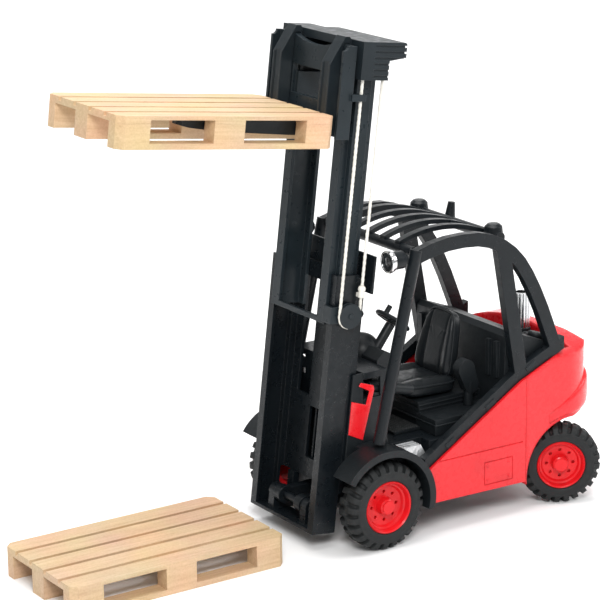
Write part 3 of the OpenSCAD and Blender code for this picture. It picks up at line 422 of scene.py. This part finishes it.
def pad_surface(across, along, thick, crown, bolster, taper=0.0, rows=72, columns=96):
    """A rounded slab: a superellipse outline carried from back to front; its front sinks in the middle
    and rises in a bolster near both sides. Returned in its own frame: X across, Y along, Z thick."""
    v = np.linspace(-math.pi / 2, math.pi / 2, rows)[:, None]
    u = np.linspace(0, 2 * math.pi, columns, endpoint=False)[None, :]
    power = 0.42
    bend = lambda value, grade: np.sign(value) * np.abs(value) ** grade
    shrink = bend(np.cos(v), 0.35)
    x = across / 2 * shrink * bend(np.cos(u), power)
    y = along / 2 * shrink * bend(np.sin(u), power)
    x = x * (1 - taper * (y / along + 0.5))
    z = thick / 2 * bend(np.sin(v), 0.6) * np.ones_like(u)
    front = np.clip(z / (thick / 2), 0, 1)
    sideways = np.abs(x) / (across / 2)
    edge_rise = np.clip((sideways - 0.45) / 0.3, 0, 1) * np.clip((1 - sideways) / 0.2, 0, 1)
    middle = (1 - (x / across * 2) ** 2).clip(0, 1) * (1 - (y / along * 2) ** 2).clip(0, 1)
    z = z + front * (bolster * edge_rise + crown * middle)
    channel = np.exp(-((np.abs(x) - across * 0.22) / 0.6) ** 2) + np.exp(-((y - along * 0.18) / 0.6) ** 2)
    return np.stack([x, y, z - front * 0.5 * channel], -1)


def stand(points, centre, tip):
    """Turns a pad from its own frame: X becomes the truck's Y, and it leans back by tip about Y."""
    c, s = math.cos(tip), math.sin(tip)
    ahead = points[..., 2] * c - points[..., 1] * s
    up = points[..., 2] * s + points[..., 1] * c
    return np.stack([ahead + centre[0], points[..., 0] + centre[1], up + centre[2]], -1) / 1000


def tube(name, path, radius, around=10, closed=True):
    """A round section carried along a closed path, on axes square to its direction."""
    path = np.asarray(path)
    ahead = np.roll(path, -1, 0) - np.roll(path, 1, 0)
    if not closed:
        ahead[0], ahead[-1] = path[1] - path[0], path[-1] - path[-2]
    ahead /= np.linalg.norm(ahead, axis=1)[:, None]
    flat = path.mean(0) - path
    side = flat - (flat * ahead).sum(1)[:, None] * ahead
    side /= np.linalg.norm(side, axis=1)[:, None] + 1e-12
    over = np.cross(ahead, side)
    a = np.linspace(0, 2 * math.pi, around, endpoint=False)
    ring = np.cos(a)[None, :, None] * side[:, None] + np.sin(a)[None, :, None] * over[:, None]
    piece = grid_mesh(name, path[:, None] + ring * radius, close_u=closed, close_v=True)
    if not closed:
        count = len(path)
        work = bmesh.new()
        work.from_mesh(piece.data)
        work.verts.ensure_lookup_table()
        for end in (0, count - 1):
            work.faces.new([work.verts[end * around + i] for i in range(around)])
        work.to_mesh(piece.data)
        work.free()
    outward(piece.data)
    return piece


def outline(across, along, lift, taper, count=160):
    """The seam of a pad: its superellipse outline at a height of lift above its middle."""
    u = np.linspace(0, 2 * math.pi, count, endpoint=False)
    x = across / 2 * np.sign(np.cos(u)) * np.abs(np.cos(u)) ** 0.42
    y = along / 2 * np.sign(np.sin(u)) * np.abs(np.sin(u)) ** 0.42
    x = x * (1 - taper * (y / along + 0.5))
    return np.stack([x, y, np.full(count, lift)], -1)


ORIGIN_MM = MIDDLE_X * 1000
# name, width, length, thickness, crown, bolster, taper, middle, tip
seat_parts = (
    ("seat_cushion", 44.0, 39.0, 9.0, 0.6, 2.2, 0.0, (-60 - ORIGIN_MM, 0.0, 80.0), math.pi / 2 + 0.04),
    ("seat_back", 38.5, 41.0, 8.0, 0.5, 2.6, 0.34, (-80.5 - ORIGIN_MM, 0.0, 102.0), 0.24),
)
for name, across, along, thick, crown, bolster, taper, centre, tip in seat_parts:
    flip = 1 if name == "seat_back" else -1
    pad = pad_surface(across, along, thick, crown, bolster, taper)
    pad[..., 1] *= flip
    piece = grid_mesh(f"{name}_moulded", stand(pad, centre, tip), close_v=True)
    outward(piece.data)
    finish_piece(piece, vinyl, "truck")
    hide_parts(name)
    seam = outline(across, along, thick * 0.32, taper)
    seam[:, 1] *= flip
    piping = tube(f"{name}_piping", stand(seam, centre, tip), 0.0007)
    finish_piece(piping, black_trim, "truck")

# ---------------------------------------------------------------------------
# Seat box: raised beads run round the moulded box under the seat.
# front edge, half width and height of each bead
seat_box_beads = ((-46.9, 24.1, 70.0), (-46.6, 24.1, 72.6), (-46.1, 42.1, 64.5))
for index, (front, half, height) in enumerate(seat_box_beads):
    rear, corner = -92.0, 2.0
    turns = np.linspace(0, 2 * math.pi, 64, endpoint=False) + math.pi / 4
    bead_x = np.where(np.cos(turns) > 0, front - corner, rear + corner) + corner * np.cos(turns)
    bead_y = np.where(np.sin(turns) > 0, half - corner, corner - half) + corner * np.sin(turns)
    path = np.stack([bead_x - ORIGIN_MM, bead_y, np.full(64, height)], -1) / 1000
    bead = tube(f"seat_box_bead_{index + 1}", path, 0.0006)
    finish_piece(bead, black_trim, "truck")

# ---------------------------------------------------------------------------
# Cab controls and mat: two levers with ball knobs beside the wheel, and a
# ribbed rubber mat on the floor plate.
for index, (x, y, lean_y) in enumerate(((-24, -14, -3), (-24, -19, -4))):
    foot = Vector(((x - ORIGIN_MM) / 1000, y / 1000, 0.109))
    top = foot + Vector((-0.008, lean_y / 1000, 0.015))
    rise = (top - foot).normalized()
    stick = [(0.0, -0.5), (1.6, -0.5), (1.6, 1.0), (0.8, 1.8), (0.6, 14.5), (1.1, 15.0), (1.9, 16.2),
             (2.1, 17.3), (1.9, 18.4), (1.1, 19.4), (0.0, 19.7)]
    finish_piece(lathe(f"control_lever_{index + 1}", stick, foot, rise, 32), black_frame, "truck")
rib = np.linspace(0, 1, 120)[:, None]
wide = np.linspace(-1, 1, 12)[None, :]
mat_x = (-45.5 + 18 * rib - ORIGIN_MM) * np.ones_like(wide)
mat_y = 25 * wide * np.ones_like(rib)
mat_z = 60.25 + 0.35 * np.clip(1.6 * np.sin(rib * 2 * math.pi * 9), -1, 1) * np.ones_like(wide)
floor_mat = grid_mesh("floor_mat", np.stack([mat_x, mat_y, mat_z], -1) / 1000)
thickness = floor_mat.modifiers.new("mat_thickness", "SOLIDIFY")
thickness.thickness, thickness.offset = 0.0008, -1
finish_piece(floor_mat, rubber, "truck")

# ---------------------------------------------------------------------------
# Mast: black channels and plates moulded in tough satin plastic, greasy
# smooth where they slide; sliding mast, carriage and forks are slate grey.
# Hinge pin, tilt rods and front axle are steel, blackened to match.
mast_plastic = moulded("mast_plastic", (0.0052, 0.0075, 0.0095), 0.30, edge=0.0004, edge_highlight=0.5)
clothe(["fixed_rail_left", "fixed_rail_right", "mast_back"], mast_plastic)
clothe(["mast_pin", "tilt_rod_left", "tilt_rod_right", "front_axle"], mast_plastic)
slate_plastic = moulded("slate_plastic", (0.0130, 0.0190, 0.0230), 0.32, edge=0.0005, edge_highlight=0.7)
clothe(["sliding_mast", "carriage"], slate_plastic)
fork_plastic = moulded("fork_plastic", (0.0120, 0.0170, 0.0205), 0.36, edge=0.0005, edge_highlight=0.7)
clothe(["fork_left", "fork_right", "crosshead", "pulley_low", "pulley_high"], fork_plastic)

# ---------------------------------------------------------------------------
# Cord: two pale strands laid together, one closed loop over both pulleys,
# held to the fixed mast by a moulded bead.
cord_white = moulded("cord_white", (0.74, 0.72, 0.66), 0.75, grain=0.0001, grain_scale=2600, edge=0.0001,
                     edge_highlight=0.1)
LEAN = math.radians(7.3)
HINGE = np.array([30 - ORIGIN_MM, 0, 22])


def on_mast(points):
    """Mast frame (forward, across, up) in mm to the model's frame in metres: leant back round the hinge."""
    f, y, u = points[..., 0], points[..., 1], points[..., 2]
    return np.stack([f * math.cos(LEAN) - u * math.sin(LEAN), y,
                     u * math.cos(LEAN) + f * math.sin(LEAN)], -1) / 1000 + HINGE / 1000


def cord_loop(low, high, middle, side_y, reach, samples=1700, around=14, pitch=3.4, strand=0.98):
    """Up the front, over the top pulley, down the back, under the low pulley; the section has two
    lobes that turn once every two pitches."""
    straight, half_turn = high - low, math.pi * reach
    total = 2 * (straight + half_turn)
    s = np.linspace(0, total, samples, endpoint=False)
    top_turn = np.clip((s - straight) / reach, 0, math.pi)
    low_turn = np.clip((s - 2 * straight - half_turn) / reach, 0, math.pi)
    up = low + np.clip(s, 0, straight) - np.clip(s - straight - half_turn, 0, straight)
    f = middle + reach * np.where(s < straight + half_turn, np.cos(top_turn), -np.cos(low_turn))
    up = up + reach * (np.sin(top_turn) - np.sin(low_turn))
    side = np.stack([f - middle, 0 * s, up - np.clip(up, low, high)], -1)
    side /= np.linalg.norm(side, axis=1)[:, None]
    turns = round(total / pitch)
    a = np.linspace(0, 2 * math.pi, around, endpoint=False)[None, :]
    lobe = strand * (0.80 + 0.20 * np.abs(np.cos(a - math.pi * turns * (s / total)[:, None])))
    ring_side = (lobe * np.cos(a))[..., None] * side[:, None]
    ring_over = (lobe * np.sin(a))[..., None] * np.array([0, 1.0, 0])
    centre = np.stack([f, np.full_like(s, side_y), up], -1)[:, None]
    return on_mast(centre + ring_side + ring_over)


cord = grid_mesh("cord_twisted", cord_loop(122.5, 270.0, -1.0, 38.0, 7.0), close_u=True, close_v=True)
outward(cord.data)
finish_piece(cord, cord_white, "lift_frame")
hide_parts("cord")
clothe(["cord_anchor"], cord_white)

# ---------------------------------------------------------------------------
# Pallets: five deck boards on three stringers, nine blocks and three
# runners, moulded in a wood-coloured plastic with a sawn grain.
def sawn_wood(name, tilt):
    """Pale wood: long streaks along the boards, slow patches of tone, and a shallow bump from the streaks."""
    material = bpy.data.materials.new(name)
    material.use_nodes = True
    nodes, links = material.node_tree.nodes, material.node_tree.links
    shader = nodes["Principled BSDF"]
    shader.inputs["Roughness"].default_value = 0.62
    place = nodes.new("ShaderNodeTexCoord")
    turn = nodes.new("ShaderNodeMapping")
    turn.inputs["Rotation"].default_value = (0, tilt, 0)
    links.new(place.outputs["Object"], turn.inputs["Vector"])
    stretch = nodes.new("ShaderNodeMapping")
    stretch.inputs["Scale"].default_value = (30, 520, 520)
    links.new(turn.outputs["Vector"], stretch.inputs["Vector"])
    grain = nodes.new("ShaderNodeTexNoise")
    grain.inputs["Scale"].default_value = 1.0
    grain.inputs["Detail"].default_value = 6
    grain.inputs["Distortion"].default_value = 0.4
    links.new(stretch.outputs["Vector"], grain.inputs["Vector"])
    speckle = nodes.new("ShaderNodeTexNoise")
    speckle.inputs["Scale"].default_value = 900
    speckle.inputs["Detail"].default_value = 4
    links.new(turn.outputs["Vector"], speckle.inputs["Vector"])
    patch = nodes.new("ShaderNodeTexNoise")
    patch.inputs["Scale"].default_value = 28
    links.new(turn.outputs["Vector"], patch.inputs["Vector"])
    tone = nodes.new("ShaderNodeValToRGB")
    tone.color_ramp.elements[0].position = 0.32
    tone.color_ramp.elements[0].color = (0.56, 0.37, 0.205, 1)
    tone.color_ramp.elements[1].position = 0.66
    tone.color_ramp.elements[1].color = (0.72, 0.51, 0.31, 1)
    mix = nodes.new("ShaderNodeMix")
    mix.inputs["Factor"].default_value = 0.42
    links.new(grain.outputs["Fac"], mix.inputs["A"])
    links.new(speckle.outputs["Fac"], mix.inputs["B"])
    links.new(mix.outputs["Result"], tone.inputs["Fac"])
    shade = nodes.new("ShaderNodeMix")
    shade.data_type, shade.blend_type = "RGBA", "MULTIPLY"
    shade.inputs["Factor"].default_value = 0.28
    links.new(tone.outputs["Color"], shade.inputs["A"])
    links.new(patch.outputs["Color"], shade.inputs["B"])
    links.new(shade.outputs["Result"], shader.inputs["Base Color"])
    rounded = nodes.new("ShaderNodeBevel")
    rounded.samples = 6
    rounded.inputs["Radius"].default_value = 0.0005
    bump = nodes.new("ShaderNodeBump")
    bump.inputs["Strength"].default_value = 0.45
    bump.inputs["Distance"].default_value = 0.00025
    links.new(mix.outputs["Result"], bump.inputs["Height"])
    links.new(rounded.outputs["Normal"], bump.inputs["Normal"])
    links.new(bump.outputs["Normal"], shader.inputs["Normal"])
    return material


clothe(["carried_deck", "carried_runners"], sawn_wood("pallet_wood_carried", LEAN))
clothe(["floor_deck", "floor_runners"], sawn_wood("pallet_wood_floor", 0.0))
